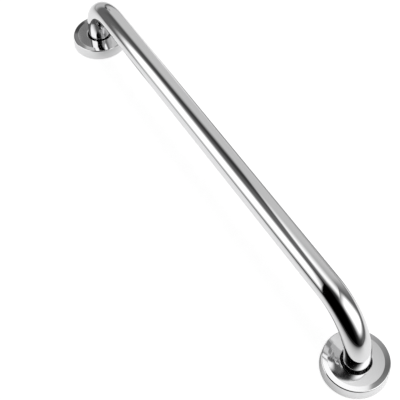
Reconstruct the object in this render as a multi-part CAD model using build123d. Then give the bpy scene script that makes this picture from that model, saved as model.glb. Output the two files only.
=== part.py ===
from build123d import *
from math import atan2, cos
import os

# Grab bar: a bent tube, welded at both ends to a mounting plate that a drawn cover hides.
# Millimetres. The wall is the plane z = 0, the grip runs along x and the origin is midway between the legs.

# Rail
TUBE_DIAMETER = 25.0
TUBE_WALL = 1.2
LEG_SPACING = 500.0             # from leg axis to leg axis
PROJECTION = 81.5               # from the wall to the far side of the grip
BEND_RADIUS = 50.0              # on the tube's axis

# Mounting plates
PLATE_THICKNESS = 3.0
PLATE_CHAMFER = 0.5             # broken edge on the side that faces the room
PLATE_BORE_CLEARANCE = 0.1      # radial, tube in plate
WELD_SIZE = 2.5                 # leg length of the fillet weld
SCREW_COUNT = 3
SCREW_HOLE_DIAMETER = 5.5
SCREW_CIRCLE_DIAMETER = 43.0

# Covers
COVER_SHEET = 0.8
COVER_HEIGHT = 12.5
COVER_BASE_DIAMETER = 64.0
COVER_RIM_DIAMETER = 61.9003    # where the lines of skirt and shoulder meet
COVER_FACE_DIAMETER = 51.0      # flat face, inside the bevelled shoulder
COVER_BEVEL_DROP = 0.5          # from the face down to the top of the skirt
COVER_RIM_BEND = 0.4            # inside radius of the bend from skirt to shoulder
COVER_LIP_BEND = 0.2            # inside radius of the bend into the centre hole
COVER_LIP_DEPTH = 3.0           # turned-down edge of the centre hole
COVER_HOLE_CLEARANCE = 1.6      # radial, leg in cover
COVER_PLATE_CLEARANCE = 0.2     # radial, plate in skirt

TUBE_RADIUS = TUBE_DIAMETER / 2
GRIP_HEIGHT = PROJECTION - TUBE_RADIUS
BASE_RADIUS = COVER_BASE_DIAMETER / 2
RIM_RADIUS = COVER_RIM_DIAMETER / 2
RIM_HEIGHT = COVER_HEIGHT - COVER_BEVEL_DROP

# Each leg stands half the spacing from the middle, turned so that its own x axis points away from the grip.
LEGS = {
    "right": Pos(LEG_SPACING / 2, 0, 0),
    "left": Pos(-LEG_SPACING / 2, 0, 0) * Rot(0, 0, 180),
}
ON_THE_WALL = (Align.CENTER, Align.CENTER, Align.MIN)


def weld_bead():
    """Fillet weld between the leg and the top of its plate, rooted in the tube's wall."""
    root_radius = TUBE_RADIUS - TUBE_WALL / 2
    bead = Polyline(
        (root_radius, PLATE_THICKNESS),
        (TUBE_RADIUS + WELD_SIZE, PLATE_THICKNESS),
        (TUBE_RADIUS, PLATE_THICKNESS + WELD_SIZE),
        (root_radius, PLATE_THICKNESS + WELD_SIZE),
        close=True,
    )
    return revolve(Plane.XZ * make_face(bead), axis=Axis.Z)


def grab_rail():
    """Tube bent at both ends, its open ends flush with the wall, with the weld bead on each leg."""
    reach = LEG_SPACING / 2
    axis_line = FilletPolyline(
        (-reach, 0, 0),
        (-reach, 0, GRIP_HEIGHT),
        (reach, 0, GRIP_HEIGHT),
        (reach, 0, 0),
        radius=BEND_RADIUS,
    )
    section = Circle(TUBE_RADIUS) - Circle(TUBE_RADIUS - TUBE_WALL)
    tube = sweep(Pos(-reach, 0, 0) * section, path=axis_line)
    for place in LEGS.values():
        tube += place * weld_bead()
    return tube


def skirt_radius(height):
    """Outside radius of the cover's skirt at a height above the wall."""
    return BASE_RADIUS + (RIM_RADIUS - BASE_RADIUS) * height / RIM_HEIGHT


def mounting_plate():
    """Round plate with the leg's bore and its screw holes, one of them pointing away from the grip.

    It fits inside the skirt at the narrowest place beside it.
    """
    skirt_draft = atan2(BASE_RADIUS - RIM_RADIUS, RIM_HEIGHT)
    sheet_across = COVER_SHEET / cos(skirt_draft)
    narrowest = min(skirt_radius(0), skirt_radius(PLATE_THICKNESS))
    radius = narrowest - sheet_across - COVER_PLATE_CLEARANCE
    plate = Cylinder(radius, PLATE_THICKNESS, align=ON_THE_WALL)
    plate = chamfer(plate.edges().sort_by(Axis.Z)[-1], PLATE_CHAMFER)
    plate -= Cylinder(TUBE_RADIUS + PLATE_BORE_CLEARANCE, PLATE_THICKNESS, align=ON_THE_WALL)
    for spot in PolarLocations(SCREW_CIRCLE_DIAMETER / 2, SCREW_COUNT):
        plate -= spot * Cylinder(SCREW_HOLE_DIAMETER / 2, PLATE_THICKNESS, align=ON_THE_WALL)
    return plate


def cover():
    """Drawn cup: tapered skirt, bevelled shoulder, flat face and a centre hole with a turned-down lip.

    The sheet starts a little behind the wall plane, where it is trimmed level.
    The bevel meets the face in a plain line.
    """
    rim_bend = COVER_RIM_BEND + COVER_SHEET
    lip_bend = COVER_LIP_BEND + COVER_SHEET
    hole_radius = TUBE_RADIUS + COVER_HOLE_CLEARANCE
    outside = FilletPolyline(
        (skirt_radius(-COVER_SHEET), -COVER_SHEET),
        (RIM_RADIUS, RIM_HEIGHT),
        (COVER_FACE_DIAMETER / 2, COVER_HEIGHT),
        (hole_radius, COVER_HEIGHT),
        (hole_radius, COVER_HEIGHT - COVER_LIP_DEPTH),
        radius=[rim_bend, 0, lip_bend],
    )
    sheet = offset(outside, COVER_SHEET, side=Side.LEFT)
    cup = revolve(Plane.XZ * make_face(sheet.edges()), axis=Axis.Z)
    return split(cup, bisect_by=Plane.XY, keep=Keep.TOP)


nodes = {"grab_rail": grab_rail()}
for side, place in LEGS.items():
    nodes[f"{side}_mounting_plate"] = place * mounting_plate()
    nodes[f"{side}_cover"] = place * cover()

os.makedirs("parts", exist_ok=True)
for name, shape in nodes.items():
    export_step(shape, f"parts/{name}.step")
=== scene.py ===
from math import cos, pi, radians, sin, sqrt, tan
import bpy
import numpy as np
from mathutils import Matrix, Vector

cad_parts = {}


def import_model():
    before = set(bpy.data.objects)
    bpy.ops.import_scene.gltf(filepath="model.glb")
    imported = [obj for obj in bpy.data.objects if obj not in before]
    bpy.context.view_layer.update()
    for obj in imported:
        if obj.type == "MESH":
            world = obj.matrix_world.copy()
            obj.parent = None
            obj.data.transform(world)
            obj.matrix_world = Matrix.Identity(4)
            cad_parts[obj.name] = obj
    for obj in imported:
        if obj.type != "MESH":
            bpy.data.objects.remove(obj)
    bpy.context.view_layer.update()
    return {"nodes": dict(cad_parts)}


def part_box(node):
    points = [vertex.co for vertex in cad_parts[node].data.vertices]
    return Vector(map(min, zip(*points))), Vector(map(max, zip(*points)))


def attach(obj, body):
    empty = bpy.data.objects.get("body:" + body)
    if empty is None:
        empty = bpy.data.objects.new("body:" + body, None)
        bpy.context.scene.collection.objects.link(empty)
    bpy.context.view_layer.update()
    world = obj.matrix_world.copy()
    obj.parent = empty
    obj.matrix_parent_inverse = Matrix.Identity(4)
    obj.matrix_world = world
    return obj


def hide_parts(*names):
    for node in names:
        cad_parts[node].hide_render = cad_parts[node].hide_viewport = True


# Grab bar in polished steel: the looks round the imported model. Metres, in the model's own frame.
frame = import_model()

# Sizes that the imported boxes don't give
TUBE_RADIUS = 0.0125
TUBE_WALL = 0.0012
BEND_RADIUS = 0.050             # on the tube's axis
WELD_SIZE = 0.0025
COVER_SHEET = 0.0008
COVER_SKIRT_DRAFT = radians(5)
COVER_FACE_RADIUS = 0.0255      # flat face, inside the bevelled shoulder
COVER_BEVEL_DROP = 0.0005
COVER_HOLE_RADIUS = 0.0141
COVER_LIP_DEPTH = 0.0030
COVER_RIM_BEND = 0.0012         # outside of the bend at the rim
COVER_LIP_BEND = 0.0010         # outside of the bend into the hole
COVER_CREASE_RADIUS = 0.0020    # soft break between face and bevel

# How finely the round pieces are drawn
TUBE_SIDES = 128
BEND_STEPS = 40
GRIP_STEPS = 48                 # from a bend to the middle of the grip
LEG_STEPS = 4
COVER_SIDES = 256
CORNER_STEPS = 8
WELD_STEPS = 10                 # across the bead
RIPPLE_STEPS = 8                # along each ripple
SHARP_ANGLE = radians(40)

WHITE = (1, 1, 1, 1)


def sockets(node, **values):
    """Sets a node's inputs by name, with _ for a space."""
    for name, value in values.items():
        node.inputs[name.replace("_", " ")].default_value = value
    return node


def mesh_piece(name, points, faces, finishes, uvs):
    """A smooth mesh with sharp edges where it turns sharply.

    finishes has the number of each face's material, uvs one (u, v) for each face corner.
    """
    mesh = bpy.data.meshes.new(name)
    mesh.from_pydata(points, [], faces)
    mesh.polygons.foreach_set("material_index", finishes)
    layer = mesh.uv_layers.new(name="along")
    layer.data.foreach_set("uv", np.array(uvs, np.float32).ravel())
    mesh.polygons.foreach_set("use_smooth", [True] * len(mesh.polygons))
    mesh.set_sharp_from_angle(angle=SHARP_ANGLE)
    piece = bpy.data.objects.new(name, mesh)
    bpy.context.scene.collection.objects.link(piece)
    weighted = piece.modifiers.new("flat faces stay flat", "WEIGHTED_NORMAL")
    weighted.keep_sharp = True
    return piece


def ring_piece(name, rings, lengths, girth, inside=0):
    """Skins a closed chain of rings, the last of which are the piece's inside and take its second material.

    lengths gives each ring's distance along the chain, girth the distance round one ring
    and inside the number of inner rings.
    """
    rows, sides = len(rings), len(rings[0])
    points = [p for ring in rings for p in ring]
    faces, finishes, uvs = [], [], []
    for row in range(rows):
        after = (row + 1) % rows
        hidden = rows - inside <= row < rows - 1
        for side in range(sides):
            beside = (side + 1) % sides
            face = ((row, side), (row, beside), (after, beside), (after, side))
            faces.append([corner_row * sides + corner_side for corner_row, corner_side in face])
            finishes.append(int(hidden))
            for corner_row, around in ((row, side), (row, side + 1), (after, side + 1), (after, side)):
                uvs.append((lengths[corner_row], girth * around / sides))
    return mesh_piece(name, points, faces, finishes, uvs)


def running_lengths(points):
    """Each point's distance from the first, along the chain."""
    lengths = [0.0]
    for here, there in zip(points, points[1:]):
        lengths.append(lengths[-1] + (there - here).length)
    return lengths


# Rail

rail_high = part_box("grab_rail")[1]
LEG_X = rail_high.x - TUBE_RADIUS - WELD_SIZE
GRIP_Z = rail_high.z - TUBE_RADIUS
BEND_X = LEG_X - BEND_RADIUS
BEND_Z = GRIP_Z - BEND_RADIUS


def rail_stations():
    """Points on the tube's axis from the left wall end to the right, each with the way out of the bend."""
    half = [(LEG_X, BEND_Z * i / LEG_STEPS, 0.0) for i in range(LEG_STEPS)]
    for i in range(BEND_STEPS):
        turn = pi / 2 * i / BEND_STEPS
        half.append((BEND_X + BEND_RADIUS * cos(turn), BEND_Z + BEND_RADIUS * sin(turn), turn))
    half += [(BEND_X * (1 - i / GRIP_STEPS), GRIP_Z, pi / 2) for i in range(GRIP_STEPS + 1)]
    right = [(Vector((x, 0, z)), Vector((cos(turn), 0, sin(turn)))) for x, z, turn in half]
    mirror = Matrix.Diagonal((-1, 1, 1))
    left = [(mirror @ centre, mirror @ out) for centre, out in right[:-1]]
    return left + right[::-1]


def rail():
    """The hollow tube, outside and inside, with the seam of its unrolled surface inside the bends."""
    stations = rail_stations()
    side_way = Vector((0, 1, 0))
    angles = [2 * pi * i / TUBE_SIDES - pi for i in range(TUBE_SIDES)]

    def ring(centre, out, radius):
        return [centre + radius * (cos(a) * out + sin(a) * side_way) for a in angles]

    outer = [ring(centre, out, TUBE_RADIUS) for centre, out in stations]
    inner = [ring(centre, out, TUBE_RADIUS - TUBE_WALL) for centre, out in stations]
    lengths = running_lengths([centre for centre, _ in stations])
    rings, along = outer + inner[::-1], lengths + lengths[::-1]
    return ring_piece("rail", rings, along, 2 * pi * TUBE_RADIUS, len(inner))


# Welds

WELD_RIPPLES = 32
WELD_BULGE = 0.0003
RIPPLE_DEPTH = 0.0001
RIPPLE_LAG = 1.5                # how far a ripple's middle runs behind its ends, in radians of its wave


def weld(side):
    """Rippled bead in the corner between a leg and its plate."""
    leg_x = LEG_X if side == "right" else -LEG_X
    plate_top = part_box(f"{side}_mounting_plate")[1].z
    root_radius = TUBE_RADIUS - TUBE_WALL / 2
    rings = []
    count = WELD_RIPPLES * RIPPLE_STEPS
    for i in range(count):
        turn = 2 * pi * i / count
        section = [(root_radius, WELD_SIZE), (root_radius, 0.0)]
        for k in range(WELD_STEPS + 1):
            across = k / WELD_STEPS
            hump = sin(pi * across)
            wave = cos(WELD_RIPPLES * turn - RIPPLE_LAG * hump)
            # the bead swells outward and upward alike
            rise = hump * (WELD_BULGE + RIPPLE_DEPTH * wave) / sqrt(2)
            section.append((TUBE_RADIUS + WELD_SIZE * (1 - across) + rise, WELD_SIZE * across + rise))
        rings.append([
            Vector((leg_x + radius * cos(turn), radius * sin(turn), plate_top + height))
            for radius, height in section
        ])
    around = [2 * pi * TUBE_RADIUS * i / count for i in range(count)]
    return ring_piece(f"{side}_weld", rings, around, 2 * WELD_SIZE)


# Covers

def offset_outline(corners, distance):
    """The open outline moved sideways to its left by a distance."""
    lines = []
    for a, b in zip(corners, corners[1:]):
        along = (b - a).normalized()
        lines.append((a + distance * Vector((-along.y, along.x)), along))
    moved = [lines[0][0]]
    for (p, u), (q, w) in zip(lines, lines[1:]):
        step = q - p
        moved.append(p + u * (step.x * w.y - step.y * w.x) / (u.x * w.y - u.y * w.x))
    moved.append(lines[-1][0] + corners[-1] - corners[-2])
    return moved


def rounded(corners, radii):
    """The open outline with each inner corner rounded."""
    points = [corners[0]]
    for before, corner, after, radius in zip(corners, corners[1:], corners[2:], radii):
        back, ahead = (before - corner).normalized(), (after - corner).normalized()
        half = back.angle(ahead) / 2
        start = corner + back * radius / tan(half)
        end = corner + ahead * radius / tan(half)
        centre = corner + (back + ahead).normalized() * radius / sin(half)
        arm, sweep = start - centre, (start - centre).angle_signed(end - centre)
        for i in range(CORNER_STEPS + 1):
            points.append(centre + Matrix.Rotation(-sweep * i / CORNER_STEPS, 2) @ arm)
    return points + [corners[-1]]


def cover_outline(base_radius, height):
    """Section of the drawn cover as (radius, height), closed, from the wall edge up the outside.

    Also gives the number of points on its inside, which come last.
    """
    rim_height = height - COVER_BEVEL_DROP
    rim_radius = base_radius - rim_height * tan(COVER_SKIRT_DRAFT)
    corners = [
        Vector((base_radius, 0)),
        Vector((rim_radius, rim_height)),
        Vector((COVER_FACE_RADIUS, height)),
        Vector((COVER_HOLE_RADIUS, height)),
        Vector((COVER_HOLE_RADIUS, height - COVER_LIP_DEPTH)),
    ]
    bends = [COVER_RIM_BEND, COVER_CREASE_RADIUS, COVER_LIP_BEND]
    outside = rounded(corners, bends)
    inside_corners = offset_outline(corners, COVER_SHEET)
    # the inside starts level with the wall
    first, second = inside_corners[:2]
    inside_corners[0] = first + (second - first) * (-first.y / (second.y - first.y))
    inside = rounded(inside_corners, [bend - COVER_SHEET for bend in bends])
    return outside + inside[::-1], len(inside)


def cover(side):
    """The drawn cover, turned about its leg."""
    low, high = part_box(f"{side}_cover")
    centre_x = (low.x + high.x) / 2
    outline, inside = cover_outline((high.x - low.x) / 2, high.z)
    lengths = running_lengths(outline)
    angles = [2 * pi * i / COVER_SIDES + pi / 2 for i in range(COVER_SIDES)]
    rings = [[Vector((centre_x + p.x * cos(a), p.x * sin(a), p.y)) for a in angles] for p in outline]
    return ring_piece(f"{side}_cover_shell", rings, lengths, 2 * pi * COVER_FACE_RADIUS, inside)


# Materials

POLISHED_GREY = [(0.765, 0.765, 0.77), (0.795, 0.795, 0.80)]
SATIN_GREY = [(0.50, 0.50, 0.505), (0.62, 0.62, 0.625)]
RAW_GREY = [(0.36, 0.355, 0.35), (0.48, 0.475, 0.47)]
# Lowest and highest roughness
TUBE_GLOSS = (0.03, 0.07)
COVER_GLOSS = (0.06, 0.09)
SATIN_GLOSS = (0.28, 0.42)
RAW_GLOSS = (0.35, 0.5)
# How often the lines change per metre: (along, round) the unrolled tube, (across, round) the unrolled cover
# and (x, y, z) on rolled plate. They run the way that they change least.
TUBE_LINES = (60, 4000, 1)
COVER_LINES = (4000, 60, 1)
ROLLED_LINES = (50, 2500, 50)
POLISH_DEPTH = 0.0000002
ROLLED_DEPTH = 0.000003
RAW_DEPTH = 0.000002
LINE_NOISE = {"Scale": 1.0, "Detail": 3.0, "Roughness": 0.6}
SMUDGE_NOISE = {"Scale": 45.0, "Detail": 4.0, "Roughness": 0.55}
SMUDGE_RANGE = (0.3, 0.7)       # noise that gives the lowest and the highest roughness


def steel(name, colour, gloss, line_stretch, line_depth, unrolled=True):
    """Steel with the fine lines of its polish or rolling, uneven gloss and a faint change of grey.

    The lines follow the piece's own unrolled length and girth, or else its place in space.
    """
    material = bpy.data.materials.new(name)
    material.use_nodes = True
    tree = material.node_tree
    link = tree.links.new
    shader = tree.nodes["Principled BSDF"]
    sockets(shader, Metallic=1.0)
    place = tree.nodes.new("ShaderNodeTexCoord")
    stretched = sockets(tree.nodes.new("ShaderNodeMapping"), Scale=line_stretch)
    link(place.outputs["UV" if unrolled else "Object"], stretched.inputs["Vector"])
    lines = sockets(tree.nodes.new("ShaderNodeTexNoise"), **LINE_NOISE)
    link(stretched.outputs["Vector"], lines.inputs["Vector"])
    smudge = sockets(tree.nodes.new("ShaderNodeTexNoise"), **SMUDGE_NOISE)
    link(place.outputs["Object"], smudge.inputs["Vector"])
    uneven = tree.nodes.new("ShaderNodeMapRange")
    sockets(uneven, From_Min=SMUDGE_RANGE[0], From_Max=SMUDGE_RANGE[1], To_Min=gloss[0], To_Max=gloss[1])
    link(smudge.outputs["Fac"], uneven.inputs["Value"])
    link(uneven.outputs["Result"], shader.inputs["Roughness"])
    shades = tree.nodes.new("ShaderNodeValToRGB")
    for stop, shade in zip(shades.color_ramp.elements, colour):
        stop.color = (*shade, 1)
    link(lines.outputs["Fac"], shades.inputs["Fac"])
    link(shades.outputs["Color"], shader.inputs["Base Color"])
    bump = sockets(tree.nodes.new("ShaderNodeBump"), Strength=1.0, Distance=line_depth)
    link(lines.outputs["Fac"], bump.inputs["Height"])
    link(bump.outputs["Normal"], shader.inputs["Normal"])
    return material


def dress(piece, *materials):
    """Gives a piece its materials in place of those it has."""
    piece.data.materials.clear()
    for material in materials:
        piece.data.materials.append(material)


# Studio: a white sheet under the bar and soft lights and dark walls round it, which its polish mirrors

ROOM_RADIUS = 0.62
ROOM_SEGMENTS = 48
ROOM_RINGS = 24
ROOM_GREY = 0.15
# Edges of the white sheet: the way out in degrees, the distance from the middle and the edge's softness
SHEET_EDGES = [(-25, 0.50, 0.20), (300, 0.25, 0.25), (205, 0.50, 0.50), (65, 0.40, 0.40)]
BEYOND_SHEET = 0.02
# Painted shadow on the sheet, seen only in the polish: darker patches, called boards, behind the bar and in
# front of each cover, by edges of the same kind
PAINTED_SHADOWS = [
    [(0, 0.262, 0.03), (30, 0.22, 0.03), (90, 0.30, 0.1), (180, 0.205, 0.06), (270, 0.0, 0.03)],
    [(0, 0.262, 0.03), (90, 0.0, 0.03), (180, -0.19, 0.03), (270, 0.035, 0.03)],
    [(0, -0.16, 0.03), (90, 0.0, 0.03), (180, 0.205, 0.06), (270, 0.035, 0.03)],
]
# The painted shadow leaves this share of the sheet's light, for rays from the polish
PAINTED_SHADOW_LIGHT = 0.35              # share of the sheet's light that a board leaves
# Cards on the room's wall, each over those before it: brightness, corners as (azimuth, elevation) going
# round to the left as seen from inside, and the softness of the edge that starts at each, in degrees
CARDS = {
    "grey_wall": (0.65, [(75, 10), (110, -20), (171, 18), (183, 35), (100, 75)], [20, 5, 2, 5, 20]),
    "dark_flag": (0.04, [(130, 60), (195, 30), (200, 75), (140, 75)], [10, 10, 10, 10]),
    "small_flag": (
        0.20, [(169.5, 25.5), (172.5, 25.5), (172.5, 30.5), (169.5, 30.5)], [0.4, 0.4, 0.4, 0.4],
    ),
    "narrow_flag": (0.25, [(177, 24), (181, 24), (181, 35), (177, 35)], [1, 2, 0.6, 0.4]),
    "paper_sweep": (0.55, [(150, -10), (205, -10), (177, 20), (171, 14)], [10, 5, 2, 1]),
    "low_flag": (
        0.06, [(172.5, 19.5), (177.5, 19.5), (177.5, 24.5), (172.5, 24.5)], [0.6, 0.6, 0.6, 0.6],
    ),
    "black_flag": (0.0, [(270, -40), (365, 0), (330, 70), (245, 55)], [2, 20, 5, 5]),
    "side_softbox": (1.5, [(220, 5), (270, 10), (265, 55), (205, 40)], [15, 3, 10, 3]),
    "front_softbox": (1.6, [(5, 10), (45, 10), (40, 55), (-15, 50)], [5, 10, 10, 10]),
    "top_softbox": (1.25, [(245, 80), (360, 60), (50, 60), (140, 65)], [10, 1, 15, 3]),
}


def toward(azimuth, elevation):
    """The way to a place in the room, by its angles in degrees."""
    a, e = radians(azimuth), radians(elevation)
    return Vector((cos(e) * cos(a), cos(e) * sin(a), sin(e)))


def product(tree, factors):
    """Multiplies node outputs together."""
    result = factors[0]
    for factor in factors[1:]:
        both = tree.nodes.new("ShaderNodeMath")
        both.operation = "MULTIPLY"
        tree.links.new(result, both.inputs[0])
        tree.links.new(factor, both.inputs[1])
        result = both.outputs["Value"]
    return result


def soft_edge(tree, place, way, none, full):
    """Rises from 0 to 1 as a place goes along a way from one distance to another."""
    across = tree.nodes.new("ShaderNodeVectorMath")
    across.operation = "DOT_PRODUCT"
    across.inputs[1].default_value = way
    tree.links.new(place, across.inputs[0])
    edge = tree.nodes.new("ShaderNodeMapRange")
    edge.interpolation_type = "SMOOTHSTEP"
    sockets(edge, From_Min=none, From_Max=full)
    tree.links.new(across.outputs["Value"], edge.inputs["Value"])
    return edge.outputs["Result"]


def room_material():
    """A glowing wall with the cards on it."""
    material = bpy.data.materials.new("studio room")
    material.use_nodes = True
    tree = material.node_tree
    link = tree.links.new
    tree.nodes.remove(tree.nodes["Principled BSDF"])
    place = tree.nodes.new("ShaderNodeNewGeometry")
    way = tree.nodes.new("ShaderNodeVectorMath")
    way.operation = "NORMALIZE"
    link(place.outputs["Position"], way.inputs[0])
    light = None
    for name, (brightness, corners, softness) in CARDS.items():
        ways = [toward(*corner) for corner in corners]
        edges = []
        for a, b, soft in zip(ways, ways[1:] + ways[:1], softness):
            inward = a.cross(b).normalized()
            edges.append(soft_edge(tree, way.outputs["Vector"], inward, -radians(soft), radians(soft)))
        layer = tree.nodes.new("ShaderNodeMix")
        layer.label = name
        layer.inputs["A"].default_value = ROOM_GREY
        layer.inputs["B"].default_value = brightness
        link(product(tree, edges), layer.inputs["Factor"])
        if light is not None:
            link(light, layer.inputs["A"])
        light = layer.outputs["Result"]
    glow = tree.nodes.new("ShaderNodeEmission")
    link(light, glow.inputs["Strength"])
    link(glow.outputs["Emission"], tree.nodes["Material Output"].inputs["Surface"])
    return material


def room():
    """A dome round the bar that only its polish sees."""
    bpy.ops.mesh.primitive_uv_sphere_add(segments=ROOM_SEGMENTS, ring_count=ROOM_RINGS, radius=ROOM_RADIUS)
    dome = bpy.context.object
    dome.name = "studio_room"
    dome.visible_camera = dome.visible_diffuse = dome.visible_shadow = False
    dress(dome, room_material())


FLOOR_SIZE = 12.0
FLOOR_DROP = 0.0001
FLOOR_WHITES = (0.785, 0.815)   # cloudy paper
CLOUD_NOISE = {"Scale": 25.0, "Detail": 5.0}
SHOWN_GLOW = 0.70               # added for rays that show the floor as the background
FAR_GLOW = 0.82                 # the same, beyond the lamp's reach
LAMP_REACH = (1.0, 3.5)         # distances over which the lamp's light fades
MIRRORED_GLOW = 0.55            # added for rays from the polish


def glow_by_ray(tree, shown, mirrored, other):
    """A strength for rays that show the background, one for rays from the polish and one for the rest.

    The first is a node output or a number. Also gives the output that tells rays from the polish.
    """
    path = tree.nodes.new("ShaderNodeLightPath")
    strength = None
    for name, level in (
        ("Is Camera Ray", shown), ("Is Transmission Ray", shown), ("Is Glossy Ray", mirrored),
    ):
        pick = tree.nodes.new("ShaderNodeMix")
        pick.inputs["A"].default_value = other
        if isinstance(level, bpy.types.NodeSocket):
            tree.links.new(level, pick.inputs["B"])
        else:
            pick.inputs["B"].default_value = level
        tree.links.new(path.outputs[name], pick.inputs["Factor"])
        if strength is not None:
            tree.links.new(strength, pick.inputs["A"])
        strength = pick.outputs["Result"]
    return strength, path.outputs["Is Glossy Ray"]


def floor_material():
    """White paper, which the polish sees dark beyond the sheet's edges and dimmer where shadow is painted
    behind the bar and in front of each cover.
    """
    material = bpy.data.materials.new("white sheet")
    material.use_nodes = True
    tree = material.node_tree
    link = tree.links.new
    shader = sockets(tree.nodes["Principled BSDF"], Roughness=1.0, Specular_IOR_Level=0.0)
    sockets(shader, Emission_Color=WHITE)
    cloud = sockets(tree.nodes.new("ShaderNodeTexNoise"), **CLOUD_NOISE)
    whites = tree.nodes.new("ShaderNodeValToRGB")
    for stop, white in zip(whites.color_ramp.elements, FLOOR_WHITES):
        stop.color = (white, white, white, 1)
    link(cloud.outputs["Fac"], whites.inputs["Fac"])
    link(whites.outputs["Color"], shader.inputs["Base Color"])
    place = tree.nodes.new("ShaderNodeNewGeometry")
    link(place.outputs["Position"], cloud.inputs["Vector"])
    away = tree.nodes.new("ShaderNodeVectorMath")
    away.operation = "LENGTH"
    link(place.outputs["Position"], away.inputs[0])
    shown = tree.nodes.new("ShaderNodeMapRange")
    shown.interpolation_type = "SMOOTHSTEP"
    sockets(shown, From_Min=LAMP_REACH[0], From_Max=LAMP_REACH[1], To_Min=SHOWN_GLOW, To_Max=FAR_GLOW)
    link(away.outputs["Value"], shown.inputs["Value"])
    strength, mirrored = glow_by_ray(tree, shown.outputs["Result"], MIRRORED_GLOW, 0.0)
    link(strength, shader.inputs["Emission Strength"])
    sheet, *painted_shadows = [
        product(tree, [
            soft_edge(tree, place.outputs["Position"], toward(angle, 0), far + soft / 2, far - soft / 2)
            for angle, far, soft in edges
        ])
        for edges in [SHEET_EDGES] + PAINTED_SHADOWS
    ]
    light = [sheet]
    # painted shadow: each patch dims the sheet's light for rays from the polish
    for painted_shadow in painted_shadows:
        dimmed = sockets(tree.nodes.new("ShaderNodeMapRange"), To_Min=1.0, To_Max=PAINTED_SHADOW_LIGHT)
        link(painted_shadow, dimmed.inputs["Value"])
        light.append(dimmed.outputs["Result"])
    darkness = tree.nodes.new("ShaderNodeMath")
    darkness.operation = "SUBTRACT"
    darkness.inputs[0].default_value = 1.0
    link(product(tree, light), darkness.inputs[1])
    dark = sockets(tree.nodes.new("ShaderNodeEmission"), Strength=BEYOND_SHEET)
    mix = tree.nodes.new("ShaderNodeMixShader")
    link(product(tree, [darkness.outputs["Value"], mirrored]), mix.inputs["Fac"])
    link(shader.outputs["BSDF"], mix.inputs[1])
    link(dark.outputs["Emission"], mix.inputs[2])
    link(mix.outputs["Shader"], tree.nodes["Material Output"].inputs["Surface"])
    return material


def floor():
    """The sheet that the bar lies on, just under its wall plane."""
    bpy.ops.mesh.primitive_plane_add(size=FLOOR_SIZE, location=(0, 0, -FLOOR_DROP))
    sheet = bpy.context.object
    sheet.name = "white_sheet"
    dress(sheet, floor_material())


WORLD_SHOWN = 1.0               # white, as the background and in the polish
WORLD_LIGHT = 0.25


def world():
    """Plain white, which lights the scene less than it shows."""
    bpy.context.scene.world = bpy.data.worlds.new("white")
    bpy.context.scene.world.use_nodes = True
    tree = bpy.context.scene.world.node_tree
    background = sockets(tree.nodes["Background"], Color=WHITE)
    strength, _ = glow_by_ray(tree, WORLD_SHOWN, WORLD_SHOWN, WORLD_LIGHT)
    tree.links.new(strength, background.inputs["Strength"])


LAMP_PLACE = Vector((0.3, 0.4, 2.0))
LAMP_SIZE = 1.4
LAMP_WATTS = 13.0


def lamp():
    """One soft lamp turned to the bar. It lights the sheet and isn't mirrored itself."""
    data = bpy.data.lights.new("lamp", "AREA")
    data.shape = "SQUARE"
    data.size = LAMP_SIZE
    data.energy = LAMP_WATTS
    light = bpy.data.objects.new("lamp", data)
    turned = LAMP_PLACE.to_track_quat("Z", "Y").to_matrix().to_4x4()
    light.matrix_world = Matrix.Translation(LAMP_PLACE) @ turned
    light.visible_glossy = light.visible_camera = False
    bpy.context.scene.collection.objects.link(light)


# Camera: angles in radians, the focal length in pixels of the square frame

CAMERA_PLACE = Vector((0.4664, -0.2710, 0.7154))
CAMERA_YAW = 2.636
CAMERA_PITCH = 0.948            # downward
CAMERA_ROLL = 0.0501
FOCAL_PIXELS = 847.6
FRAME_PIXELS = 400
SENSOR = 36.0                   # millimetres
CLIP_START = 0.01


def camera():
    """The photograph's viewpoint."""
    data = bpy.data.cameras.new("camera")
    data.sensor_width = SENSOR
    data.lens = FOCAL_PIXELS / FRAME_PIXELS * SENSOR
    data.clip_start = CLIP_START
    eye = bpy.data.objects.new("camera", data)
    level = cos(CAMERA_PITCH)
    ahead = Vector((level * cos(CAMERA_YAW), level * sin(CAMERA_YAW), -sin(CAMERA_PITCH)))
    right = Matrix.Rotation(CAMERA_ROLL, 3, ahead) @ Vector((sin(CAMERA_YAW), -cos(CAMERA_YAW), 0))
    axes = Matrix((right, right.cross(ahead), -ahead)).transposed()
    eye.matrix_world = Matrix.Translation(CAMERA_PLACE) @ axes.to_4x4()
    bpy.context.scene.collection.objects.link(eye)
    bpy.context.scene.camera = eye


# The bar in its studio

raw = steel("raw inside", RAW_GREY, RAW_GLOSS, TUBE_LINES, RAW_DEPTH)
tube = rail()
dress(tube, steel("polished tube", POLISHED_GREY, TUBE_GLOSS, TUBE_LINES, POLISH_DEPTH), raw)
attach(tube, "bar")
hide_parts("grab_rail")
polished = steel("polished cover", POLISHED_GREY, COVER_GLOSS, COVER_LINES, POLISH_DEPTH)
satin = steel("satin plate", SATIN_GREY, SATIN_GLOSS, ROLLED_LINES, ROLLED_DEPTH, unrolled=False)
for side in ("right", "left"):
    shell = cover(side)
    dress(shell, polished, raw)
    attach(shell, f"{side}_cover")
    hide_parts(f"{side}_cover")
    bead = weld(side)
    dress(bead, satin)
    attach(bead, "bar")
    dress(frame["nodes"][f"{side}_mounting_plate"], satin)

room()
floor()
world()
lamp()
camera()
bpy.context.scene.view_settings.view_transform = "Standard"
